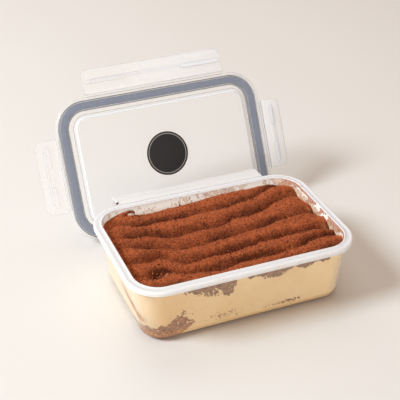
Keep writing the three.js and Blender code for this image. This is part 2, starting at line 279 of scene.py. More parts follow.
# One material and its nodes
class Paint:
    def __init__(self, name):
        self.material = bpy.data.materials.new(name)
        self.material.use_nodes = True
        self.tree = self.material.node_tree
        self.tree.nodes.clear()
        self.coords = self.node("ShaderNodeTexCoord", {}, {}, "Object")

    def node(self, kind, settings, sockets, output=0):
        made = self.tree.nodes.new(kind)
        for key, value in settings.items():
            setattr(made, key, value)
        for key, value in sockets.items():
            if isinstance(value, Wire):
                self.tree.links.new(value.socket, made.inputs[key])
            else:
                made.inputs[key].default_value = value
        return Wire(self, made.outputs[output])

    # Coordinates in mm
    def spot(self):
        scale = (1 / mm, 1 / mm, 1 / mm)
        return self.node("ShaderNodeVectorMath", {"operation": "MULTIPLY"}, {0: self.coords, 1: scale})

    def axis(self, name):
        return self.node("ShaderNodeSeparateXYZ", {}, {0: self.spot()}, name)

    def noise(self, size, detail=3.0, roughness=0.55):
        sockets = {"Vector": self.spot(), "Scale": 1 / size, "Detail": detail, "Roughness": roughness}
        return self.node("ShaderNodeTexNoise", {}, sockets, "Fac")

    # From 0 below low to 1 above high, smoothly
    def step(self, value, low, high):
        sockets = {"Value": value, "From Min": low, "From Max": high}
        return self.node("ShaderNodeMapRange", {"interpolation_type": "SMOOTHSTEP"}, sockets)

    # From 1 below low to 0 above high, smoothly
    def fall(self, value, low, high):
        return 1.0 - self.step(value, low, high)

    def mix(self, factor, first, second):
        return self.node("ShaderNodeMix", {"data_type": "RGBA"}, {0: factor, 6: first, 7: second}, 2)

    # A base colour with others laid over it, each by its own amount
    def layers(self, base, *covers):
        for amount, colour in covers:
            base = self.mix(amount, base, colour)
        return base

    def bump(self, height, strength, distance):
        sockets = {"Height": height, "Strength": strength, "Distance": distance * mm}
        return self.node("ShaderNodeBump", {}, sockets)

    def facing(self, blend=0.5):
        return self.node("ShaderNodeLayerWeight", {}, {"Blend": blend}, "Facing")

    def finish(self, colour, roughness, normal=None, alpha=None, glow=None, specular=None):
        extras = {"Normal": normal, "Alpha": alpha, "Emission Color": glow, "Specular IOR Level": specular}
        sockets = {name: value for name, value in extras.items() if value is not None}
        if glow is not None:
            sockets["Emission Strength"] = 1.0
        sockets.update({"Base Color": colour, "Roughness": roughness})
        shader = self.node("ShaderNodeBsdfPrincipled", {}, sockets)
        output = self.tree.nodes.new("ShaderNodeOutputMaterial")
        self.tree.links.new(shader.socket, output.inputs["Surface"])
        return self.material


# A colour given as it looks on a screen, from 0 to 255
def tone(red, green, blue):
    def linear(value):
        share = value / 255
        return share / 12.92 if share <= 0.04045 else ((share + 0.055) / 1.055) ** 2.4

    return (linear(red), linear(green), linear(blue), 1.0)


def place(made, material, slot, node=None, body="box_and_lid"):
    made.data.materials.append(material)
    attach(made, body)
    if node:
        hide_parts(node)


# The box
tubLook = {
    "wallAlpha": 0.06, "edgeAlpha": 1.0, "bareAlpha": 0.68, "rimAlpha": 0.93,
    "colour": tone(241, 242, 244), "hazed": tone(237, 238, 239), "recessShade": tone(216, 217, 222),
    "filled": tone(246, 230, 204), "foot": tone(176, 140, 108), "streak": tone(204, 146, 106),
    # rimGlow and wallGlow are painted light: a glow that stands for light passed through the milky plastic.
    "rimGlow": tone(66, 69, 73), "wallGlow": tone(140, 146, 140), "dust": tone(226, 178, 158),
    "roughness": 0.25, "rises": [20.0, 34.0, 48.0],
    # Where each look starts and ends, in mm of height, of inset from the edge or along the box
    "innerInset": (7.1, 7.4), "innerTop": (59.5, 60.1), "rimStart": (56.1, 56.9),
    "bareStart": (52, 55.5), "bareLower": 4.5, "backSide": (0, 40), "rightSide": (78, 90),
    "leftSide": (-84, -80), "recessIn": (2.4, 3.2), "recessOut": (5.2, 6.2), "grooveHeight": 57.6,
    "filledTop": (48, 54), "footTop": (1.5, 5.0),
}


# How far a point stands in from the edge of a rounded rectangle
def cornerInset(paint, sizes):
    dx = (abs(paint.axis("X")) - (sizes["length"] / 2 - sizes["corner"])).atLeast(0.0)
    dy = (abs(paint.axis("Y")) - (sizes["width"] / 2 - sizes["corner"])).atLeast(0.0)
    return sizes["corner"] - (dx * dx + dy * dy) ** 0.5


streakLook = {
    "slope": 0.15, "level": 28.4, "front": (-51, -37), "back": (-14, 4), "fade": (0.6, 4.8),
    "low": tone(190, 118, 76), "high": tone(214, 150, 106),
    "span": (12, 50), "inset": 0.22, "thickness": 0.2,
}


# How strongly the brown streak inside the left wall shows
def streakBand(paint):
    look = streakLook
    across = paint.axis("Y")
    wander = paint.noise(13, 2) * 6.0 - 3.0
    away = abs(paint.axis("Z") - across * look["slope"] - look["level"] + wander)
    ends = paint.step(across, *look["front"]) * paint.fall(across, *look["back"])
    return paint.fall(away, *look["fade"]) * ends


def clearBoxPaint():
    look = tubLook
    paint = Paint("clearBox")
    height = paint.axis("Z")
    inset = cornerInset(paint, box)
    innerFace = paint.step(inset, *look["innerInset"]) * paint.fall(height, *look["innerTop"])
    rim = paint.step(height, *look["rimStart"]) * (1.0 - innerFace)
    right = paint.step(paint.axis("X"), *look["rightSide"])
    behind = paint.step(paint.axis("Y"), *look["backSide"]).atLeast(right)
    bare = paint.step(height + behind * look["bareLower"], *look["bareStart"])
    edge = paint.facing(0.5) ** 2.2
    calm = paint.step(height, 4.0, 15.0) * 0.9 + 0.1
    wall = edge * look["edgeAlpha"] * calm + look["wallAlpha"]
    alpha = wall + bare * look["bareAlpha"]
    alpha = alpha + (look["rimAlpha"] - alpha) * rim
    haze = paint.noise(14, 3)
    powder = paint.step(paint.noise(1.4, 3, 0.6), 0.54, 0.66)
    powder = powder * paint.step(paint.noise(26, 2), 0.45, 0.62)
    # The rim's recess and the groove round its lip are painted darker: painted shade in the hollows.
    recessShade = paint.step(inset, *look["recessIn"]) * paint.fall(inset, *look["recessOut"])
    groove = paint.fall(abs(height - look["grooveHeight"]), 0.15, 0.4)
    shaded = recessShade.atLeast(groove * paint.fall(inset, 0.4, 0.8))
    left = paint.fall(paint.axis("X"), *look["leftSide"])
    colour = paint.layers(
        look["colour"],
        (haze, look["hazed"]),
        (powder * rim * 0.6, look["dust"]),
        (shaded * rim * 0.5, look["recessShade"]),
        (paint.fall(height, *look["filledTop"]) * 0.85, look["filled"]),
        (streakBand(paint) * left * 0.85, look["streak"]),
        (paint.fall(height, *look["footTop"]), look["foot"]),
    )
    # Emission on the rim and on the bare wall behind the food: painted light passed through the plastic,
    # none elsewhere.
    glow = paint.mix(bare * (1.0 - rim) * behind, look["rimGlow"], look["wallGlow"])
    glow = paint.mix(rim.atLeast(bare * behind), tone(0, 0, 0), glow)
    scuffs = paint.noise(2.5, 4, 0.7) * 0.12 + look["roughness"]
    return paint.finish(colour, scuffs, paint.bump(haze, 0.15, 0.4), alpha=alpha.atMost(1.0), glow=glow)


# The rim from its inner bead over the top and down the outer lip: inset and height
rimProfile = [
    (7.6, 59.6), (7.56, 60.35), (7.3, 60.85), (6.9, 61.0), (6.45, 60.95), (6.05, 60.65), (5.6, 60.4),
    (4.6, 60.3), (3.0, 60.32), (2.3, 60.5), (1.7, 60.55), (1.1, 60.45), (0.55, 60.1), (0.15, 59.5),
    (0.0, 58.9), (0.0, 58.1), (0.25, 57.85), (0.25, 57.6), (0.0, 57.35), (0.0, 56.75), (0.15, 56.45),
    (0.4, 56.4), (1.2, 56.4), (1.2, 59.3), (6.4, 59.3),
]


def makeTub():
    plastic = box["plastic"]
    rises = tubLook["rises"]
    curve = [box["floorRound"] * (1 - math.cos(a)) for a in np.linspace(0, math.pi / 2, 9)]
    innerCurve = [plastic + (box["floorRound"] - plastic) * z / box["floorRound"] for z in curve]
    rings = [wallPoints(z, plastic) for z in innerCurve + rises + [underRim]]
    rings += [edgeRing(box, inset, z) for inset, z in rimProfile]
    rings += [wallPoints(z, 0.0) for z in [underRim] + rises[::-1] + curve[::-1]]
    return makeMesh("clear_tub", *ringBody(rings), sharp=50)


place(makeTub(), clearBoxPaint(), "clear_box", "tub")
print("box made")

# The food
layerSteps = {"longSteps": 90, "shortSteps": 56}
layerCaps = [0.03, 0.2, 0.4, 0.6, 0.75, 0.85, 0.93]
creamLook = {
    "reach": 0.5, "rows": 24, "main": tone(234, 205, 155), "pale": tone(240, 215, 171),
    # corner is a paler cream, a painted highlight where the lamp grazes the front left corner.
    "deep": tone(222, 180, 122), "light": tone(252, 228, 180), "corner": tone(236, 212, 176),
    "cornerHighlightSpan": (-91, -74), "deepSpan": (-74, -5), "lightSpan": (30, 90),
}


def creamPaint():
    look = creamLook
    paint = Paint("mascarponeCream")
    broad = paint.noise(34, 2)
    fine = paint.noise(6, 4, 0.6)
    along = paint.axis("X")
    colour = paint.layers(
        look["main"],
        (paint.step(broad, 0.35, 0.65), look["pale"]),
        (paint.step(fine, 0.5, 0.78) * 0.35, look["deep"]),
        (paint.fall(along, *look["deepSpan"]) * 0.45, look["deep"]),
        (paint.step(along, *look["lightSpan"]) * 0.6, look["light"]),
        # Paler at the front left corner: a painted highlight.
        (paint.fall(along, *look["cornerHighlightSpan"]) * 0.9, look["corner"]),
    )
    return paint.finish(colour, 0.5 + fine * 0.1, paint.bump(fine, 0.2, 0.5))


# A closed body between two height functions that reaches the wall, with rows up its side
def layerBody(lower, upper, look, sink=0.0):
    rim = wallPoints(30.0, look["reach"], **layerSteps)
    low = lower(rim[:, 0], rim[:, 1])
    high = upper(rim[:, 0], rim[:, 1])
    share = np.linspace(0, 1, look["rows"] + 1)[:, None]
    sides = wallPoints(low + (high - low) * share, look["reach"], **layerSteps)
    rings = []
    for scale in layerCaps:
        flat = sides[0][:, :2] * scale
        rings.append(np.column_stack([flat, lower(flat[:, 0], flat[:, 1])]))
    rings += list(sides)
    for scale in layerCaps[::-1]:
        flat = sides[-1][:, :2] * scale
        rings.append(np.column_stack([flat, upper(flat[:, 0], flat[:, 1]) - sink]))
    return ringBody(rings)


def creamUnder(x, y):
    return biscuitHeight(x, y) + food["creamGap"]


def creamTop(x, y):
    return topShape(x, y)[0] - food["skin"] - food["skinGap"]


cream = makeMesh("cream_filling", *layerBody(creamUnder, creamTop, creamLook, food["creamSink"]))
place(cream, creamPaint(), "cream", "cream")

biscuitLook = {
    "reach": 0.5, "rows": 8, "crust": tone(150, 104, 74), "crumb": tone(176, 130, 92),
    "soaked": tone(112, 72, 50), "cream": tone(232, 198, 146),
    "cornerRight": (-62, -54), "cornerBack": (-30, -8), "lineTop": (3.6, 5.4),
}


def biscuitPaint():
    look = biscuitLook
    paint = Paint("soakedSponge")
    crumb = paint.noise(2.4, 4, 0.65)
    broad = paint.noise(11, 3)
    edge = paint.noise(7, 3)
    corner = paint.fall(paint.axis("X") + edge * 8, *look["cornerRight"])
    corner = corner * paint.fall(paint.axis("Y") + edge * 8, *look["cornerBack"])
    line = paint.fall(paint.axis("Z") + edge * 1.6, *look["lineTop"])
    smear = (1.0 - corner) * (1.0 - line * 0.75)
    colour = paint.layers(
        look["soaked"],
        (paint.step(crumb, 0.36, 0.62), look["crust"]),
        (paint.step(broad, 0.48, 0.66), look["crumb"]),
        (smear * 0.94, look["cream"]),
    )
    return paint.finish(colour, 0.8, paint.bump(crumb, 0.5, 0.6))


def floorOf(x, y):
    return np.full(x.shape, food["floorLevel"])


sponge = makeMesh("sponge_fingers", *layerBody(floorOf, biscuitHeight, biscuitLook))
place(sponge, biscuitPaint(), "biscuit", "ladyfingers")
print("layers made")

cocoaLook = {
    "reach": 1.05, "shift": 0.21, "deepLevel": 44.0, "rows": 262, "columns": 350,
    # dark is painted shade for the fronts of the waves.
    "light": tone(205, 110, 65), "middle": tone(162, 81, 45), "dark": tone(68, 29, 14),
    "bare": tone(206, 132, 84),
    # Each grain is its amount, cell and seed
    "wobble": (0.45, 4.5, 5), "grains": [(0.34, 7, 6), (0.24, 3.2, 7), (0.18, 1.7, 8), (0.3, 1.0, 9)],
    "frontGrain": (0.14, 1.7, 8), "frontStreaks": (0.22, 2.2, 10),
    "shades": [(0.45, 24, 17), (0.2, 7, 18)], "shadeEdge": [(0.2, 4, 15), (0.1, 2.2, 16)],
    "pitDepth": 0.9, "pits": (1.0, 1.9, 11), "leftEnd": (-94, -76),
}


def cocoaPaint():
    look = cocoaLook
    paint = Paint("cocoaPowder")
    grain = paint.noise(1.7, 4, 0.75)
    speck = paint.noise(1.1, 3, 0.7)
    patch = paint.noise(14, 3)
    front = paint.node("ShaderNodeAttribute", {"attribute_name": "front"}, {}, "Fac")
    bare = paint.node("ShaderNodeAttribute", {"attribute_name": "bare"}, {}, "Fac")
    # The fronts of the waves are painted dark as shade; the dark specks everywhere are powder grain.
    shade = (front * (speck * 1.2 + 0.3) + paint.step(speck, 0.53, 0.64) * 0.72).atMost(1.0)
    colour = paint.layers(
        look["middle"],
        (paint.step(grain, 0.3, 0.7), look["light"]),
        (paint.step(patch, 0.5, 0.75) * 0.4, look["middle"]),
        (shade, look["dark"]),
        (bare * paint.step(grain, 0.25, 0.6), look["bare"]),
    )
    return paint.finish(colour, 0.95, paint.bump(grain, 0.6, 0.5), specular=0.15)


# The dusted top with its ragged waves, streaks down their fronts, pits and powder grain
def dustedHeight(x, y):
    look = cocoaLook
    height, front = topShape(x, y + rough(x, y, look["wobble"]))
    height += sum(rough(x, y, grain) for grain in look["grains"])
    steep = smooth(-0.2, 0.4, front)
    height += steep * (rough(x, y, look["frontGrain"]) + rough(x, 0.35 * y, look["frontStreaks"]))
    uneven = 0.75 + rough(x, 0.7 * y, look["shades"][0]) + rough(x, y, look["shades"][1])
    front = front + rough(x, y, look["shadeEdge"][0]) + rough(x, 0.4 * y, look["shadeEdge"][1])
    # How much painted shade falls on each point: down each wave front, more in the dark spots, less at the
    # left end.
    front = swellHeight(darkSpots, x, y) + smooth(-0.75, 1.0, front) * uneven
    pits = swellHeight(pitSpots, x, y) * np.clip(rough(x, y, look["pits"]), 0, 1)
    height += swellHeight(curlSwell, x, y) - look["pitDepth"] * pits
    return height, front * (0.35 + 0.65 * smooth(*look["leftEnd"], x))


def makeCocoa():
    inset = box["insetBase"] + (box["insetTop"] - box["insetBase"]) * food["crestLevel"] / underRim
    inset += cocoaLook["reach"]
    corner = box["cornerTop"] - cocoaLook["reach"]
    halfX = box["length"] / 2 - inset
    halfY = box["width"] / 2 - inset
    rows = cocoaLook["rows"]
    columns = cocoaLook["columns"]
    v = np.linspace(-1, 1, rows + 1)
    v = 1.45 * v - 0.45 * v**3  # closer rows at the two long walls, where the corners turn
    y = halfY * v
    over = np.clip(np.abs(y) - (halfY - corner), 0, corner)
    halfRow = halfX - corner + np.sqrt(corner**2 - over**2)
    x = np.linspace(-1, 1, columns + 1)[None, :] * halfRow[:, None]
    y = np.repeat(y[:, None], columns + 1, 1)
    z, front = dustedHeight(x, y)
    taper = (box["insetBase"] - box["insetTop"]) / underRim
    lean = 1 + taper * (z - food["crestLevel"]) / halfX
    points = np.stack([x * lean + cocoaLook["shift"], y * lean, z], -1).reshape(-1, 3)
    row = columns + 1
    a = (np.arange(rows)[:, None] * row + np.arange(columns)).ravel()
    faces = np.stack([a, a + 1, a + row + 1, a + row], 1).tolist()
    edge = np.concatenate(
        [
            np.arange(columns),
            columns + row * np.arange(rows),
            row * rows + np.arange(columns, 0, -1),
            row * np.arange(rows, 0, -1),
        ]
    )
    rim = points[edge]
    under = rim - [0, 0, food["skin"]]
    inner = under * [0.97, 0.955, 1]
    deep = inner * [1, 1, 0] + [0, 0, cocoaLook["deepLevel"]]
    count = len(edge)
    rings = [edge] + [len(points) + i * count + np.arange(count) for i in range(3)]
    for here, there in zip(rings[:-1], rings[1:]):
        onward = np.roll(here, -1)
        beyond = np.roll(there, -1)
        faces += np.stack([here, onward, beyond, there], 1).tolist()
    faces.append(rings[-1].tolist())
    made = makeMesh("cocoa_top", np.concatenate([points, under, inner, deep]), faces, sharp=80)
    fill = np.zeros(3 * count)
    # The front attribute carries the painted shade; bare marks the worn spots.
    for name, values in (("front", np.clip(front, 0, 1)), ("bare", swellHeight(bareSpots, x, y))):
        layer = made.data.attributes.new(name, "FLOAT", "POINT")
        layer.data.foreach_set("value", np.concatenate([values.ravel(), fill]).astype(np.float32))
    return made


place(makeCocoa(), cocoaPaint(), "cocoa", "cocoa")
print("cocoa top made")

filmSteps = {"arcs": 40, "longSteps": 260, "shortSteps": 140}
filmRise = 0.6


# Thin closed flakes that follow the wall wherever the cover allows, set in from its outer face
def wallFilm(name, look, cover):
    count = len(wallPoints(30.0, 0.0, **filmSteps))
    z = np.repeat(np.arange(*look["span"], filmRise)[:, None], count, 1)
    near = wallPoints(z, look["inset"], **filmSteps)
    far = wallPoints(z, look["inset"] + look["thickness"], **filmSteps)
    middle = (near[:-1] + np.roll(near, -1, 1)[1:]) / 2
    chosen = cover(middle[..., 0], middle[..., 1], middle[..., 2])
    for _ in range(5):  # no two flakes touch by a corner only
        lower = chosen[:-1]
        upper = chosen[1:]
        right = np.roll(lower, -1, 1)
        upperRight = np.roll(upper, -1, 1)
        rising = lower & upperRight & ~right & ~upper
        falling = right & upper & ~lower & ~upperRight
        chosen[1:] |= rising | np.roll(falling, 1, 1)
    i, j = np.argwhere(chosen).T
    k = (j + 1) % count
    ring = [i * count + j, i * count + k, (i + 1) * count + k, (i + 1) * count + j]
    total = z.size
    faces = [np.stack(ring, 1), np.stack(ring[::-1], 1) + total]
    padded = np.pad(chosen, ((1, 1), (0, 0)))
    beside = [padded[i, j], padded[i + 1, k], padded[i + 2, j], padded[i + 1, (j - 1) % count]]
    for side, taken in enumerate(beside):
        a = ring[side][~taken]
        b = ring[(side + 1) % 4][~taken]
        faces.append(np.stack([b, a, a + total, b + total], 1))
    used, faces = np.unique(np.concatenate(faces), return_inverse=True)
    points = np.concatenate([near.reshape(-1, 3), far.reshape(-1, 3)])[used]
    return makeMesh(name, points, faces.reshape(-1, 4).tolist(), 60)


# Lower edge of the cocoa seeping down behind the front wall: place along it and height
seepEdge = [
    (-62, 53), (-58, 49), (-52, 48), (-46, 43.6), (-38, 41.3), (-29, 39), (-20, 37), (-16.3, 38.5),
    (-14, 46), (-12.5, 53), (-6, 53), (-1, 50.5), (8, 49.5), (12, 47), (17, 45.2), (24, 45.4),
    (30, 46), (34, 48.2), (38, 50.5), (41, 51.5), (45, 49), (50.7, 45.5), (54, 48), (60, 50.5),
    (63, 52), (66, 49.5), (69.5, 48.6), (73, 49.8), (75, 53),
]
# Soaked crumb pressed on the front left corner: place along, lower and upper edge
mound = [
    (-97, 1, 12), (-90, 1, 15), (-84, 1, 16), (-79, 1, 16.5), (-73, 1, 18.5), (-69, 1, 22.5),
    (-64, 1.5, 24.4), (-60, 5.0, 24.2), (-55.5, 9, 21.8), (-49.5, 14, 15.0),
]


def edgeAt(rows, x, column):
    table = np.array(rows, float)
    return np.interp(x, table[:, 0], table[:, column])


def seepCover(x, y, z):
    edge = edgeAt(seepEdge, x, 1) - 2.2 * (edgeAt(seepEdge, x, 1) < 51.5)
    ragged = edge + 1.5 * patchy(x, z, 3.1, 31) + 0.9 * patchy(x, z, 1.3, 32)
    thick = smooth(0, 10, z - edge) + 0.5 * smooth(45, 50, z) + 0.6 * (x > -10)
    holes = patchy(x + 0.4 * z, 0.6 * z, 1.25, 33) > -0.05 + 0.75 * thick
    seep = (z > ragged) & ~holes & (edge < 52.6) & (z < 55)
    low = edgeAt(mound, x, 1)
    high = edgeAt(mound, x, 2)
    uneven = 1.5 * patchy(x, z, 3.4, 34) + 1.5 * patchy(x, z, 1.4, 35)
    gaps = patchy(x, z, 1.6, 37) > 0.62
    pressed = (z > low + 0.6 * uneven) & (z < high + uneven) & (x < -49) & (y < -38) & ~gaps
    crumbs = bell(x + 24, 20) * bell(z - 15, 3.2) + bell(x - 35, 20) * bell(z - 11, 3.2)
    crumbs = crumbs + 0.9 * bell(x + 60, 9) * bell(z - 27, 6) + 0.55 * bell(x + 46, 12) * bell(z - 44, 7)
    fine = patchy(x + 0.8 * z, z, 0.9, 36) + 0.3 * patchy(x, z, 4, 38) > 1.22 - 0.95 * crumbs
    return (y < -38) & (seep | pressed | (fine & (y < -50)))


stainLook = {
    "seep": tone(174, 126, 100), "deep": tone(132, 88, 66), "warm": tone(168, 98, 58),
    "crumb": tone(216, 172, 132), "crust": tone(218, 164, 114),
    "span": (1.5, 55.5), "inset": 0.2, "thickness": 0.2,
}


def stainPaint():
    look = stainLook
    paint = Paint("cocoaStain")
    broad = paint.noise(5, 3, 0.6)
    fine = paint.noise(1.5, 4, 0.7)
    low = paint.fall(paint.axis("Z"), 24, 30)
    foot = paint.fall(paint.axis("Z") + broad * 6, 12, 15)
    crust = paint.mix(paint.step(fine, 0.42, 0.62), look["warm"], look["crust"])
    colour = paint.layers(
        look["deep"],
        (paint.step(broad, 0.4, 0.62), look["seep"]),
        (paint.step(fine, 0.56, 0.7) * 0.55, look["crumb"]),
        (low * (paint.step(broad, 0.4, 0.7) * 0.3 + 0.35), look["warm"]),
        (foot * 0.8, crust),
    )
    alpha = paint.step(fine, 0.3, 0.6) * 0.7 + low * 0.12 + 0.18
    return paint.finish(colour, 0.6 + fine * 0.2, paint.bump(fine, 0.3, 0.3), alpha=alpha)


place(wallFilm("cocoa_stain", stainLook, seepCover), stainPaint(), "cream")


def streakCover(x, y, z):
    centre = 27.0 + 0.15 * (y + 9)
    ends = smooth(-60, -48, y) * (1 - smooth(-6, 8, y))
    return (x < -60) & (bell(z - centre, 7.5) * ends + 0.15 * patchy(y, z, 2.1, 42) > 0.4)


def streakPaint():
    paint = Paint("spongeStreak")
    soft = paint.noise(4, 3)
    colour = paint.mix(soft, streakLook["low"], streakLook["high"])
    alpha = streakBand(paint) * (paint.step(soft, 0.3, 0.6) * 0.3 + 0.5)
    return paint.finish(colour, 0.6 + soft * 0.1, alpha=alpha)


place(wallFilm("sponge_streak", streakLook, streakCover), streakPaint(), "cream")

# Dust and smears left on the inner face of the wall over the food
dustLook = {
    "low": tone(190, 120, 70), "high": tone(218, 164, 114), "right": tone(186, 98, 44),
    "fleck": tone(156, 88, 50), "span": (47, 60.5), "inset": 1.1, "thickness": 0.52,
}


def dustCover(x, y, z):
    dense = 0.24 + 1.05 * (y > 40) * bell(x - 20, 14) + 1.0 * bell(x - 84, 14) * bell(y - 54, 12)
    dense = dense + 0.7 * bell(x + 92, 12) * bell(y - 48, 12)
    smear = (x > 80) * (bell(z - 59.4, 2.2) + 0.2 + 0.7 * patchy(y + 0.7 * z, z, 6.5, 51))
    field = 0.55 * patchy(x + y, z, 3.6, 52) + 0.6 * patchy(x - y, z, 1.3, 53)
    field = np.where(x > 82, 0.62 * patchy(y + 1.2 * z, 0.5 * z, 3.4, 54) + 0.5 * field, field)
    return field + dense * 0.75 + smear > 0.6


def dustPaint():
    look = dustLook
    paint = Paint("cocoaFilm")
    fine = paint.noise(1.6, 4, 0.7)
    broad = paint.noise(7, 2)
    right = paint.step(paint.axis("X"), 84, 90)
    colour = paint.layers(
        look["low"],
        (paint.step(broad, 0.4, 0.6), look["high"]),
        (right * 0.8, look["right"]),
        (paint.step(fine, 0.6, 0.72) * 0.5, look["fleck"]),
    )
    alpha = paint.step(fine, 0.36, 0.7) * 0.52 + right * 0.3 + 0.12
    return paint.finish(colour, 0.85, paint.bump(fine, 0.3, 0.3), alpha=alpha)


place(wallFilm("wall_dust", dustLook, dustCover), dustPaint(), "cocoa")

milkLook = {
    "low": tone(234, 210, 182), "high": tone(214, 172, 134),
    "span": (47, 57), "inset": 1.15, "thickness": 0.5,
}


def milkCover(x, y, z):
    field = 0.6 * patchy(x + y, z, 4.5, 61) + 0.4 * patchy(x - y, z, 1.6, 62)
    return (x > 84) & (z < 56) & (field + 0.3 * bell(z - 53, 3) > 0.1)


def milkPaint():
    paint = Paint("creamFilm")
    fine = paint.noise(3, 4, 0.6)
    colour = paint.mix(fine, milkLook["low"], milkLook["high"])
    return paint.finish(colour, 0.45 + fine * 0.1, alpha=paint.step(fine, 0.3, 0.6) * 0.5 + 0.3)


place(wallFilm("cream_smear", milkLook, milkCover), milkPaint(), "cream")
print("films made")

# Kinds of lump: seed, paint, its two tones, and slot
lumpKinds = {
    "cocoa_lumps": (72, "cocoaLump", tone(76, 33, 16), tone(180, 96, 58), "cocoa"),
    "dimple_crumbs": (73, "warmCrumb", tone(150, 74, 42), tone(204, 122, 78), "cocoa"),
    "loose_crumbs": (74, "darkCrumb", tone(62, 30, 20), tone(120, 62, 38), "cocoa"),
    "rim_dust": (77, "rimPowder", tone(150, 84, 54), tone(204, 136, 100), "cocoa"),
    "cocoa_curl": (80, "curlCocoa", tone(118, 56, 32), tone(176, 90, 54), "cocoa"),
    "cream_dab": (79, "dabCream", tone(252, 244, 232), tone(244, 222, 192), "cream"),
}
lumpLook = {
    "count": 9800, "reach": (92.5, 56.5), "corner": 19, "cornerReach": 18.5, "least": 0.28,
    "spread": 0.36, "lift": 0.2, "stretch": (0.6, 1.3), "uneven": (0.85, 1.15),
}
dimpleLook = {"count": 90, "middle": (-67, -34.5), "spread": (4.2, 2.6), "size": (0.4, 0.95), "lift": 0.3}
beadLook = {"inset": 6.6, "level": 61.05, "share": 0.55, "spread": 0.8, "size": (0.14, 0.3)}


# Small lumps, each an icosahedron of its own proportions
def scatterLumps(name, places, sizes, seed):
    golden = (1 + 5**0.5) / 2
    ring = np.array([(-1, golden, 0), (1, golden, 0), (-1, -golden, 0), (1, -golden, 0)])
    corners = np.concatenate([np.roll(ring, turn, 1) for turn in range(3)]) / math.hypot(1, golden)
    shape = [(0, 11, 5), (0, 5, 1), (0, 1, 7), (0, 7, 10), (0, 10, 11), (1, 5, 9), (5, 11, 4)]
    shape += [(11, 10, 2), (10, 7, 6), (7, 1, 8), (3, 9, 4), (3, 4, 2), (3, 2, 6), (3, 6, 8)]
    shape += [(3, 8, 9), (4, 9, 5), (2, 4, 11), (6, 2, 10), (8, 6, 7), (9, 8, 1)]
    draw = np.random.default_rng(seed)
    count = len(places)
    stretch = draw.uniform(*lumpLook["stretch"], (count, 1, 3))
    stretch = stretch * draw.uniform(*lumpLook["uneven"], (count, 12, 1))
    points = np.array(places)[:, None] + corners * stretch * np.reshape(sizes, (-1, 1, 1))
    faces = np.array(shape) + 12 * np.arange(count)[:, None, None]
    return makeMesh(name, points.reshape(-1, 3), faces.reshape(-1, 3).tolist(), 60)


def insideTop(draw):
    spots = [draw.uniform(-reach, reach, lumpLook["count"]) for reach in lumpLook["reach"]]
    straight = [reach - lumpLook["corner"] for reach in lumpLook["reach"]]
    over = [np.clip(np.abs(spot) - limit, 0, None) for spot, limit in zip(spots, straight)]
    kept = np.hypot(*over) < lumpLook["cornerReach"]
    return [spot[kept] for spot in spots]


def lumpPaint(name, low, high):
    paint = Paint(name)
    grain = paint.noise(0.9, 3, 0.7)
    broad = paint.noise(2.6, 2)
    colour = paint.mix(paint.step(broad, 0.35, 0.65), low, high)
    return paint.finish(colour, 0.9, paint.bump(grain, 0.5, 0.3))


def placeLumps(name, spots, sizes):
    seed, paint, low, high, slot = lumpKinds[name]
    place(scatterLumps(name, spots, sizes, seed), lumpPaint(paint, low, high), slot)


def onTop(x, y, lift):
    return np.column_stack([x, y, dustedHeight(x, y)[0] + lift])


def addCocoaLumps(draw):
    x, y = insideTop(draw)
    sizes = lumpLook["least"] + lumpLook["spread"] * draw.random(len(x)) ** 3
    placeLumps("cocoa_lumps", onTop(x, y, lumpLook["lift"] * sizes), sizes)


def addDimpleCrumbs(draw):
    count = dimpleLook["count"]
    x, y = [draw.normal(*pair, count) for pair in zip(dimpleLook["middle"], dimpleLook["spread"])]
    sizes = draw.uniform(*dimpleLook["size"], count)
    placeLumps("dimple_crumbs", onTop(x, y, dimpleLook["lift"] * sizes), sizes)


# Powder caught along the rim's inner bead, most of it at the far right corner
def addRimDust(draw):
    bead = edgeRing(box, beadLook["inset"], beadLook["level"], arcs=60, longSteps=240, shortSteps=130)
    chance = 0.1 + 0.9 * bell(bead[:, 0] - 84, 18) * bell(bead[:, 1] - 50, 16) + 0.3 * (bead[:, 0] > 85)
    chosen = bead[np.random.default_rng(75).random(len(bead)) < beadLook["share"] * chance]
    moves = np.random.default_rng(76).normal(0, beadLook["spread"], chosen.shape) * [1, 1, 0]
    placeLumps("rim_dust", chosen + moves, draw.uniform(*beadLook["size"], len(chosen)))


# Single crumbs: on the wall, on the hooked flap's end and at the rim, each with its size
looseSpots = np.array([
    (-6.6, 58.6, 58.0, 0.6), (-16.5, 58.4, 52.8, 0.8), (79.8, 56.0, 54.4, 0.7), (-72.3, 70.2, 60.1, 0.9),
    (-71.2, 70.9, 60.1, 0.7), (-73.2, 69.6, 59.9, 0.6), (-76.6, 63.5, 60.4, 0.4), (-77.6, 62.2, 60.4, 0.35),
])
crumbDraw = np.random.default_rng(71)
addCocoaLumps(crumbDraw)
addDimpleCrumbs(crumbDraw)
placeLumps("loose_crumbs", looseSpots[:, :3], looseSpots[:, 3])
addRimDust(crumbDraw)

# The cocoa lip that curls over a dab of cream at the back left
curlLook = {
    "along": (-73, -69.5, -65.5, -62, -60.6), "across": (56, 56.5, 56.6, 56.4, 56),
    "height": (54.5, 57.2, 58.2, 57.4, 55.2), "radius": 1.5, "narrower": 0.55, "tipStart": 0.85,
    "tipShrink": 0.8, "turn": 2.6, "middle": 0.45, "grain": 0.16,
}
dabSpots = [(-66.0, 55.6, 55.4), (-64.4, 55.4, 55.6), (-62.8, 55.8, 54.6), (-65.2, 55.2, 54.4)]
dabSizes = [1.5, 1.8, 1.5, 1.5]


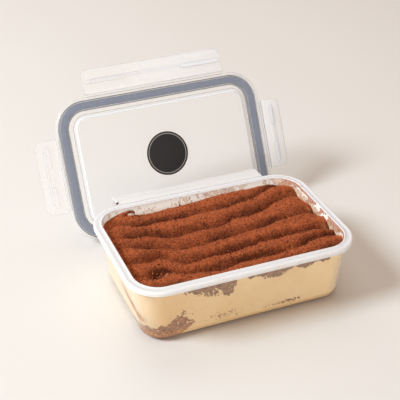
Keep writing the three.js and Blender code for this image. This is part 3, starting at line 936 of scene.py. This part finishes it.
def makeCurl(name, seed):
    look = curlLook
    t = np.linspace(0, 4, 25)
    path = (look["along"], look["across"], look["height"])
    spine = np.stack([np.interp(t, np.arange(5), values) for values in path], 1)
    spine[1:-1] = (spine[:-2] + spine[1:-1] + spine[2:]) / 3
    rings = []
    turn = np.arange(16) / 16 * 2 * math.pi
    for centre, share in zip(spine, t / 4):
        tip = max(0, share - look["tipStart"]) / (1 - look["tipStart"])
        radius = (look["radius"] - look["narrower"] * share) * (1 - look["tipShrink"] * tip)
        angle = look["turn"] * (share - look["middle"])
        side = np.cross([math.cos(angle), 0, -math.sin(angle)], [0, 1, 0])
        flat = radius * (np.cos(turn)[:, None] * side + np.sin(turn)[:, None] * np.array([0, 1.0, 0]))
        uneven = 1 + look["grain"] * patchy(turn * 3 + 20 * share, turn * 0 + 9 * share, 1.0, seed)
        rings.append(centre + flat * uneven[:, None])
    return makeMesh(name, *ringBody(rings), sharp=60)


def addCurl(name):
    seed, paint, low, high, slot = lumpKinds[name]
    place(makeCurl(name, seed), lumpPaint(paint, low, high), slot)


addCurl("cocoa_curl")
placeLumps("cream_dab", dabSpots, dabSizes)
print("crumbs made")

# The lid, in its own frame: x right, y up along it, z to its outer face
lid = {
    "length": 210.4, "width": 136.4, "corner": 29.6, "leanDeg": 28.3, "yawDeg": 1.7,
    "centre": (1.85, 132.5, 62.7), "hinge": 1.7, "tongue": 2.6, "sideTongue": 66.9,
    "topTongue": 141.4,
}


def shifted(spot):
    return Matrix.Translation(Vector(spot) * mm)


def turned(degrees, axis):
    return Matrix.Rotation(math.radians(degrees), 4, axis)


lidFrame = shifted(lid["centre"]) @ turned(lid["yawDeg"], "Z") @ turned(90 - lid["leanDeg"], "X")


def placeOnLid(made, material, slot, node):
    made.matrix_world = lidFrame
    place(made, material, slot, node)


# A round-ended bar, with the inset and height of each of its rings
def bar(x, y, length, width, levels):
    flat = outline(length, width, min(length, width) / 2 - 0.01, arcs=8)
    rings = []
    for inset, z in levels:
        scale = np.array([1 - 2 * inset / length, 1 - 2 * inset / width])
        rings.append(atHeight(flat * scale + [x, y], z))
    return ringBody(rings)


# The lid's section from the middle panel out over the edge and back under it: inset and height
lidProfile = [
    (20.4, 3.3), (19.5, 3.26), (18.9, 3.0), (17.2, 1.9), (16.6, 1.65), (15.8, 1.6), (12.4, 1.6),
    (11.9, 1.5), (11.4, 1.6), (3.2, 1.6), (1.4, 1.6), (0.7, 1.45), (0.25, 1.1), (0.0, 0.6), (0.0, -4.7),
    (0.3, -5.0), (0.9, -5.0), (1.2, -4.7), (1.2, 0.4), (2.5, 0.4), (2.5, -4.0), (2.7, -4.2),
    (3.5, -4.2), (3.7, -4.0), (3.7, 0.4), (11.1, 0.4), (11.1, -4.0), (11.3, -4.2), (12.1, -4.2),
    (12.3, -4.0), (12.3, 0.4), (16.4, 0.4), (19.6, 2.1), (20.4, 2.1),
]
lidLook = {
    # shade is the gasket's dark tone painted on the ribs; line is painted shade on edges; glow is painted
    # light passed through.
    "colour": tone(242, 245, 250), "shade": tone(84, 92, 112), "line": tone(150, 148, 150),
    "alpha": 0.08, "edgeAlpha": 0.45, "ribAlpha": 0.75, "glow": tone(62, 66, 72),
}


def clearLidPaint():
    look = lidLook
    paint = Paint("clearLid")
    inset = cornerInset(paint, lid)
    depth = paint.axis("Z")
    deep = paint.fall(depth, -1.6, -1.0)
    # The ribs take a painted dark tone, the gasket seen through them, not their own colour.
    rib = deep * paint.step(inset, 2.0, 2.4)
    # The bevel and a white band on it are made more opaque: a painted highlight.
    bevel = paint.step(inset, 16.0, 16.8) * (paint.fall(inset, 19.2, 20.2))
    facing = paint.facing(0.4) ** 2.0
    bright = paint.fall(abs(inset - 18.6), 0.5, 1.0)
    # Grey lines at the foot of the bevel and along the outer edge: painted shade.
    line = paint.fall(abs(inset - 15.9), 0.15, 0.4)
    outer = paint.fall(abs(inset - 0.3), 0.2, 0.5)
    line = line.atLeast(outer * 0.6) * paint.step(depth, 0.3, 0.6)
    alpha = facing * look["edgeAlpha"] + look["alpha"] + bevel * 0.25 + bright * 0.45
    alpha = alpha + (0.55 - alpha) * line
    alpha = alpha + (look["ribAlpha"] - alpha) * rib
    haze = paint.noise(20, 3)
    colour = paint.layers(look["colour"], (rib, look["shade"]), (line, look["line"]))
    # Emission away from the ribs and lines: painted light passed through the clear plastic.
    glow = paint.mix(rib.atLeast(line), look["glow"], tone(0, 0, 0))
    bump = paint.bump(haze, 0.1, 0.5)
    return paint.finish(colour, haze * 0.08 + 0.12, bump, alpha=alpha.atMost(1.0), glow=glow)


def makeLidPanel():
    bodies = [ringBody([edgeRing(lid, inset, z) for inset, z in lidProfile])]
    film = [(0.0, 0.75), (0.0, 1.1)]
    for side in (-1, 1):
        bodies.append(bar(side * lid["length"] / 2, 0, lid["tongue"], lid["sideTongue"], film))
    bodies.append(bar(0, lid["width"] / 2, lid["topTongue"], lid["tongue"], film))
    return makeMesh("clear_lid", *joinBodies(bodies), sharp=35)


placeOnLid(makeLidPanel(), clearLidPaint(), "clear_lid", "lid_panel")

gasketLook = {"colour": tone(131, 147, 175), "dark": tone(110, 125, 152), "side": tone(238, 239, 242)}
gasketProfile = [
    (4.0, -0.35), (4.25, 0.0), (4.7, 0.1), (10.1, 0.1), (10.55, 0.0), (10.8, -0.35), (10.8, -3.2),
    (9.4, -3.2), (8.4, -1.55), (6.4, -1.55), (5.4, -3.2), (4.0, -3.2),
]


def gasketPaint():
    look = gasketLook
    paint = Paint("siliconeGasket")
    inset = cornerInset(paint, lid)
    streak = paint.noise(3.5, 4, 0.6)
    middle = paint.fall(abs(inset - 7.4), 1.6, 3.2)
    side = paint.fall(paint.axis("Z"), -0.75, -0.25)
    colour = paint.layers(
        look["dark"],
        (paint.step(streak, 0.35, 0.7), look["colour"]),
        (middle * 0.6, look["colour"]),
        (side, look["side"]),
    )
    return paint.finish(colour, 0.42 + streak * 0.12, paint.bump(streak, 0.2, 0.3))


def makeGasket():
    rings = [edgeRing(lid, inset, z) for inset, z in gasketProfile]
    return makeMesh("gasket_ring", *ringBody(rings, True), sharp=35)


placeOnLid(makeGasket(), gasketPaint(), "gasket", "gasket")

labelLook = {
    "centre": (-2.2, 1.7), "base": 3.6, "ringRadius": 19.1, "black": tone(31, 31, 34),
    "sheen": tone(45, 44, 48), "ring": tone(172, 170, 168), "border": tone(214, 209, 202),
    "borderStart": (21.0, 21.15),
}
# The sticker's section from its edge in: radius, and height over the base
labelProfile = [
    (21.2, 0.0), (21.3, 0.1), (21.3, 0.25), (21.1, 0.4), (19.6, 0.4), (19.3, 0.34), (18.9, 0.34),
    (18.6, 0.4), (2.0, 0.4),
]


def labelPaint():
    look = labelLook
    paint = Paint("printedLabel")
    dx = paint.axis("X") - look["centre"][0]
    dy = paint.axis("Y") - look["centre"][1]
    radius = (dx * dx + dy * dy) ** 0.5
    ring = paint.fall(abs(radius - look["ringRadius"]), 0.18, 0.48)
    fibre = paint.noise(1.2, 4, 0.7)
    colour = paint.layers(
        look["black"],
        (fibre, look["sheen"]),
        (ring, look["ring"]),
        (paint.step(radius, *look["borderStart"]), look["border"]),
    )
    return paint.finish(colour, 0.55 + fibre * 0.15, paint.bump(fibre, 0.12, 0.1))


def makeLabel():
    angle = np.arange(96) / 96 * 2 * math.pi
    circle = np.stack([np.cos(angle), np.sin(angle)], 1)
    centre = np.array(labelLook["centre"])
    rings = [atHeight(centre + circle * radius, labelLook["base"] + z) for radius, z in labelProfile]
    return makeMesh("round_label", *ringBody(rings), sharp=30)


placeOnLid(makeLabel(), labelPaint(), "label", "label")
print("lid made")

# The lock flaps: x along the hinge, y away from it, z to the lid's outer face
flapLook = {
    "corner": 7.0, "bendDeg": 8.0, "gap": 0.4, "hingeLevel": 1.1, "colour": tone(246, 247, 249),
    # edgeShadeColour is painted shade on the sheet's edges; glow and edgeGlow are painted light passed
    # through the plastic.
    "edgeShadeColour": tone(176, 178, 186), "glow": tone(110, 114, 118), "edgeGlow": tone(36, 37, 40),
    # Inset and height of each ring, then places and widths
    "sheet": [(0.35, -1.6), (0.0, -1.25), (0.0, -0.35), (0.12, -0.1), (0.35, 0.0)],
    "bar": [(0.0, -0.8), (0.0, 0.35), (0.25, 0.68), (0.7, 0.8)],
    "rail": [(0.0, -0.8), (0.0, -3.0), (0.3, -3.4)], "barWidth": 4.0, "railPlace": 13.5,
    "railShorter": 18, "railWidth": 2.4,
}
sideFlap = {"length": 69.5, "reach": 21.4, "barLength": 21.0, "barPlace": 19.0}
topFlap = {"length": 144.0, "reach": 24.4, "barLength": 41.0, "barPlace": 49.0}


def flapPaint(name, low, high, start, end):
    paint = Paint(name)
    along = paint.step(paint.axis("X"), start, end)
    away = paint.axis("Y")
    normal = paint.node("ShaderNodeTexCoord", {}, {}, "Normal")
    up = paint.node("ShaderNodeSeparateXYZ", {}, {0: normal}, "Z")
    # The sheet's edges, where faces turn away from its plane, are painted grey: painted shade.
    edge = paint.fall(abs(up), 0.5, 0.9)
    facing = paint.facing(0.4) ** 2.0
    haze = paint.noise(9, 3)
    # More opaque, and so whiter, toward the high end: a painted reflection.
    body = along * (high - low) + low
    hinge = paint.fall(away, 1.0, 5.0)
    alpha = body + facing * 0.3 + edge * 0.4 + hinge * 0.15
    colour = paint.mix(edge * 0.85, flapLook["colour"], flapLook["edgeShadeColour"])
    # Emission over the flap: painted light passed through the clear plastic.
    glow = paint.mix(edge, flapLook["glow"], flapLook["edgeGlow"])
    bump = paint.bump(haze, 0.12, 0.4)
    return paint.finish(colour, haze * 0.1 + 0.14, bump, alpha=alpha.atMost(1.0), glow=glow)


def flapOutline(length, reach, inset):
    half = length / 2 - inset
    near = flapLook["gap"] + inset
    far = reach - inset
    corner = flapLook["corner"] - inset
    turn = np.linspace(0, math.pi / 2, 13)
    right = np.stack([half - corner + corner * np.cos(turn), far - corner + corner * np.sin(turn)], 1)
    left = np.stack([-half + corner - corner * np.sin(turn), far - corner + corner * np.cos(turn)], 1)
    return np.concatenate([[[-half, near], [half, near]], right, left])


def makeFlap(name, size):
    length = size["length"]
    reach = size["reach"]
    bodies = [ringBody([atHeight(flapOutline(length, reach, inset), z) for inset, z in flapLook["sheet"]])]
    for side in (-1, 1):
        spot = (side * size["barPlace"], reach / 2)
        bodies.append(bar(*spot, size["barLength"], flapLook["barWidth"], flapLook["bar"]))
    railLength = length - flapLook["railShorter"]
    bodies.append(bar(0, flapLook["railPlace"], railLength, flapLook["railWidth"], flapLook["rail"]))
    return makeMesh(name, *joinBodies(bodies), sharp=35)


# Each flap: its node and body, size, hinge place and turn, then its two alphas and where they meet
halfLid = (lid["length"] / 2 + lid["hinge"], lid["width"] / 2 + lid["hinge"])
# A higher alpha makes a flap whiter: a painted reflection.
flaps = [
    ("flap_left", "left_lock", sideFlap, -halfLid[0], 0.0, 90, (0.1, 0.1, -34, 34)),
    ("flap_right", "right_lock", sideFlap, halfLid[0], 0.0, -90, (0.46, 0.46, -34, 34)),
    ("flap_top", "top_lock", topFlap, 0.0, halfLid[1], 0, (0.14, 0.46, -60, 50)),
]
for node, body, size, x, y, turn, alphas in flaps:
    leaf = makeFlap("clear_" + node, size)
    hinge = shifted((x, y, flapLook["hingeLevel"]))
    leaf.matrix_world = lidFrame @ hinge @ turned(turn, "Z") @ turned(-flapLook["bendDeg"], "X")
    place(leaf, flapPaint("clearFlap" + node[5:].title(), *alphas), "clear_lid", node, body)
print("flaps made")

# The hooked flap: its section across the box, from under the back lip to the table
hookSection = [
    (67.5, 60.0), (72.0, 59.75), (73.0, 60.0), (74.0, 59.6), (79.5, 59.0), (80.5, 59.2), (81.5, 58.8),
    (83.6, 58.6), (84.8, 58.2), (85.5, 57.1), (97.2, 5.0), (95.7, 5.0), (83.6, 56.5), (69.0, 58.5),
    (69.0, 53.3), (64.5, 53.3), (64.5, 54.8), (67.5, 54.8),
]
hookLook = {
    "places": (-71.5, -71.1, 71.1, 71.5), "low": tone(248, 247, 245), "high": tone(240, 239, 237),
    "glow": tone(70, 75, 82), "tabStart": (55.0, 57.5),
}


def hookPaint():
    paint = Paint("clearHookedFlap")
    haze = paint.noise(12, 3)
    tab = paint.step(paint.axis("Z"), *hookLook["tabStart"])
    alpha = tab * 0.42 + paint.facing(0.4) ** 2.0 * 0.4 + 0.1
    colour = paint.mix(haze, hookLook["low"], hookLook["high"])
    bump = paint.bump(haze, 0.12, 0.4)
    # A glow over the whole flap: painted light passed through the plastic.
    glow = hookLook["glow"]
    return paint.finish(colour, haze * 0.1 + 0.14, bump, alpha=alpha.atMost(1.0), glow=glow)


def makeHook():
    section = np.array(hookSection)
    rings = [np.column_stack([np.full(len(section), x), section]) for x in hookLook["places"]]
    return makeMesh("clear_flap_hooked", *ringBody(rings), sharp=35)


place(makeHook(), hookPaint(), "clear_lid", "flap_hooked")
print("hooked flap made")

# Floor, lights and camera
roomLook = {
    "floor": tone(238, 236, 234),
    "floorPatch": tone(236, 234, 231),
    "floorHalf": 3000.0, "floorLevel": -0.25, "world": (1.0, 0.76, 0.6, 1.0), "worldStrength": 0.37,
    "aim": (0, 0.04, 0.04),
}
# Area lights: azimuth and elevation in degrees, distance and size in m, power in W, colour
lights = {
    "keyLight": (-92, 42, 2.8, 1.0, 67, (0.84, 0.93, 0.98)),
    "backLight": (174, 58, 1.5, 1.2, 4.8, (1.0, 0.94, 0.87)),
    "frontLight": (-20, 12, 1.8, 0.9, 8.4, (1.0, 0.94, 0.84)),
}


def floorPaint():
    paint = Paint("paleTable")
    soft = paint.noise(180, 2)
    colour = paint.mix(soft, roomLook["floor"], roomLook["floorPatch"])
    return paint.finish(colour, 0.7)


def makeFloor():
    half = roomLook["floorHalf"]
    z = roomLook["floorLevel"]
    points = [(-half, -half, z), (half, -half, z), (half, half, z), (-half, half, z)]
    made = makeMesh("table_floor", points, [[0, 1, 2, 3]])
    made.data.materials.append(floorPaint())


# The direction from the part to a light or to the camera
def direction(azimuth, elevation):
    a = math.radians(azimuth)
    e = math.radians(elevation)
    return Vector((math.sin(a) * math.cos(e), -math.cos(a) * math.cos(e), math.sin(e)))


def softLight(name, azimuth, elevation, distance, size, power, colour):
    lamp = bpy.data.lights.new(name, "AREA")
    lamp.shape = "DISK"
    lamp.size = size
    lamp.energy = power
    lamp.color = colour
    toward = direction(azimuth, elevation)
    made = addObject(name, lamp)
    made.location = toward * distance + Vector(roomLook["aim"])
    made.rotation_euler = toward.to_track_quat("Z", "Y").to_euler()


makeFloor()
world = bpy.data.worlds.new("softRoom")
bpy.context.scene.world = world
world.use_nodes = True
background = world.node_tree.nodes["Background"]
background.inputs["Color"].default_value = roomLook["world"]
background.inputs["Strength"].default_value = roomLook["worldStrength"]
for name, values in lights.items():
    softLight(name, *values)

# The photo's camera: places in mm, and pixels of the photo from its top left
view = {
    "focal": 85.86, "sensor": 36, "azimuth": -23.878, "elevation": 32.427, "roll": 1.565,
    "target": (0.0, 0.0, 41.0), "pixel": (221.762, 246.322), "distance": 837.634,
    "focalPixels": 953.98, "middlePixel": 200, "clipEnd": 20,
}


def makeCamera():
    a = math.radians(view["azimuth"])
    roll = math.radians(view["roll"])
    back = direction(view["azimuth"], view["elevation"])
    level = Vector((math.cos(a), math.sin(a), 0))
    over = back.cross(level)
    right = level * math.cos(roll) + over * math.sin(roll)
    up = over * math.cos(roll) - level * math.sin(roll)
    dx, dy = [(pixel - view["middlePixel"]) / view["focalPixels"] for pixel in view["pixel"]]
    spot = Vector(view["target"]) - (right * dx - up * dy - back) * view["distance"]
    facing = Matrix((right, up, back)).transposed().to_4x4()
    camera = addObject("camera", bpy.data.cameras.new("camera"))
    camera.data.lens = view["focal"]
    camera.data.sensor_width = view["sensor"]
    camera.data.clip_end = view["clipEnd"]
    camera.matrix_world = shifted(spot) @ facing
    bpy.context.scene.camera = camera


makeCamera()
bpy.context.scene.view_settings.view_transform = "Standard"
print("camera and lights made")

bpy.context.view_layer.update()
